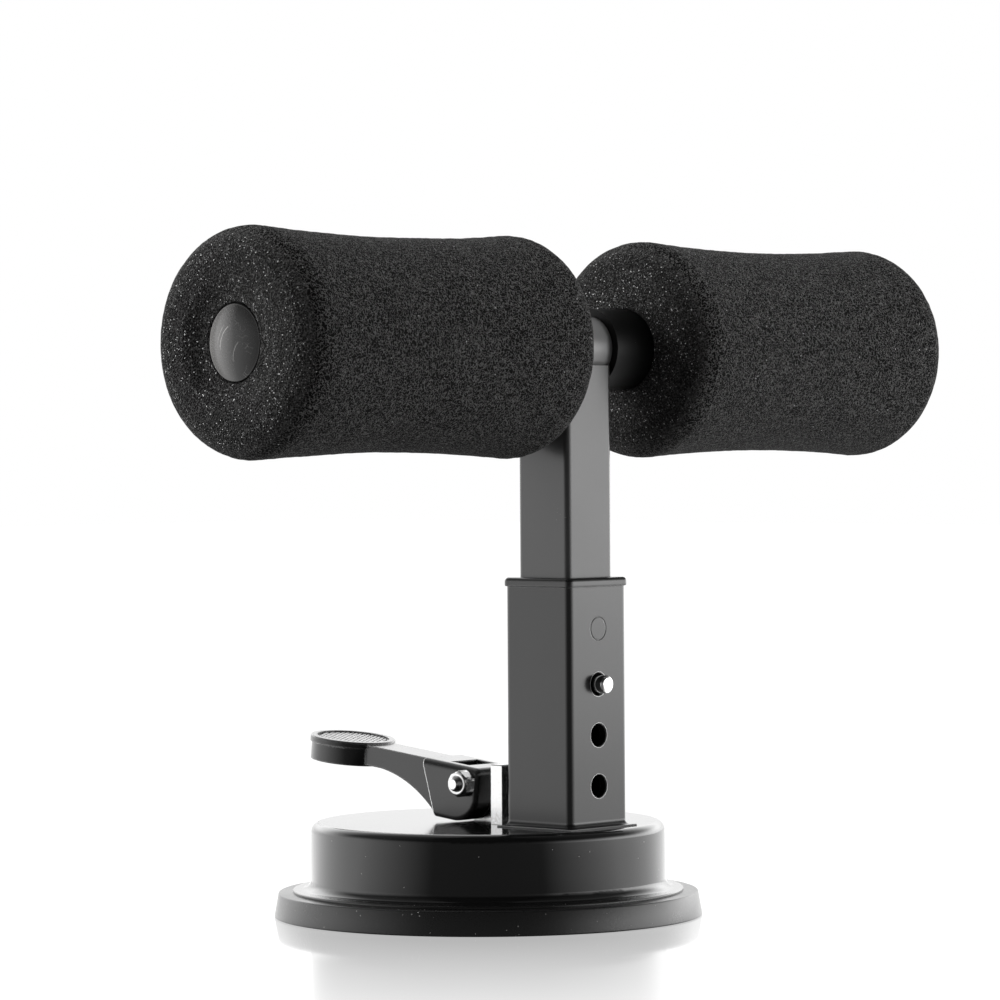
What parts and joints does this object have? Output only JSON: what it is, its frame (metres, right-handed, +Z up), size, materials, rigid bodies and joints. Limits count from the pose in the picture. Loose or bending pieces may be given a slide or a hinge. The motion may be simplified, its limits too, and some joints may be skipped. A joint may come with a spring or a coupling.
{
  "type": "sit-up bar",
  "caption": "Suction base with a pedal lever, a height-adjustable square post and a cross bar with two foam rollers that hold the feet during sit-ups.",
  "frame": {"origin": "centre of the suction cup's underside, on the floor", "axes": "+Z up, +X along the cross bar, -Y towards the side of the post with the snap button, +Y towards the pedal"},
  "size_m": [0.3202, 0.1512, 0.2277],
  "materials": {
    "cup_rubber": "smooth black moulded rubber with a dull sheen",
    "housing_gloss": "high gloss black moulded plastic",
    "lever_gloss": "gloss black moulded plastic",
    "sleeve_plastic": "satin dark grey moulded plastic",
    "tube_paint": "satin grey powder coat on steel tube",
    "black_plastic": "matt black moulded plastic",
    "cap_plastic": "dark grey satin plastic with fine scratches",
    "foam": "black closed cell foam with a fine pebbled skin",
    "chrome": "bright plated steel",
    "spring_steel": "bare spring steel",
    "zinc": "bright zinc plated steel"
  },
  "bodies": {
    "base": {"suction_cup": "cup_rubber", "base_housing": "housing_gloss", "post_sleeve": "sleeve_plastic", "post_screws": "zinc", "screw_washers": "zinc", "stop_plate": "zinc", "stop_screws": "zinc"},
    "post": {"inner_tube": "tube_paint", "tube_plug": "black_plastic", "button_spring": "spring_steel", "cross_bar": "tube_paint", "end_cap_left": "cap_plastic", "end_cap_right": "cap_plastic"},
    "button": {"snap_button": "chrome"},
    "left_roller": {"core_sleeve_left": "black_plastic", "foam_roller_left": "foam"},
    "right_roller": {"core_sleeve_right": "black_plastic", "foam_roller_right": "foam"},
    "stud": {"pull_stud": "zinc", "stud_plate": "zinc"},
    "lever": {"pedal_lever": "lever_gloss", "pivot_bolt": "zinc", "pivot_nut": "zinc"}
  },
  "joints": [
    {"name": "height_slide", "type": "slide", "parent": "base", "child": "post", "axis": [0, 0, 1], "range_m": [-0.0338, 0], "deforming": ["snap_button"]},
    {"name": "button_press", "type": "slide", "parent": "post", "child": "button", "axis": [0, 1, 0], "range_m": [0, 0.0075], "stiffness_N_per_m": 600, "springref_m": -0.004, "deforming": ["button_spring"]},
    {"name": "left_roller_spin", "type": "hinge", "parent": "post", "child": "left_roller", "pos_m": [0.0047, -0.0359, 0.191], "axis": [1, 0, 0], "continuous": true},
    {"name": "right_roller_spin", "type": "hinge", "parent": "post", "child": "right_roller", "pos_m": [0.0047, -0.0359, 0.191], "axis": [1, 0, 0], "continuous": true},
    {"name": "stud_lift", "type": "slide", "parent": "base", "child": "stud", "axis": [0, 0, 1], "range_m": [-0.00828, 0.00066], "deforming": ["suction_cup"]},
    {"name": "lever_pivot", "type": "hinge", "parent": "stud", "child": "lever", "pos_m": [0, 0, 0.04506], "axis": [1, 0, 0], "range_deg": [-6.5, 83.5]}
  ],
  "couplings": [
    {"joint": "stud_lift", "follows": "lever_pivot", "m_per_rad": -0.0056659}
  ]
}
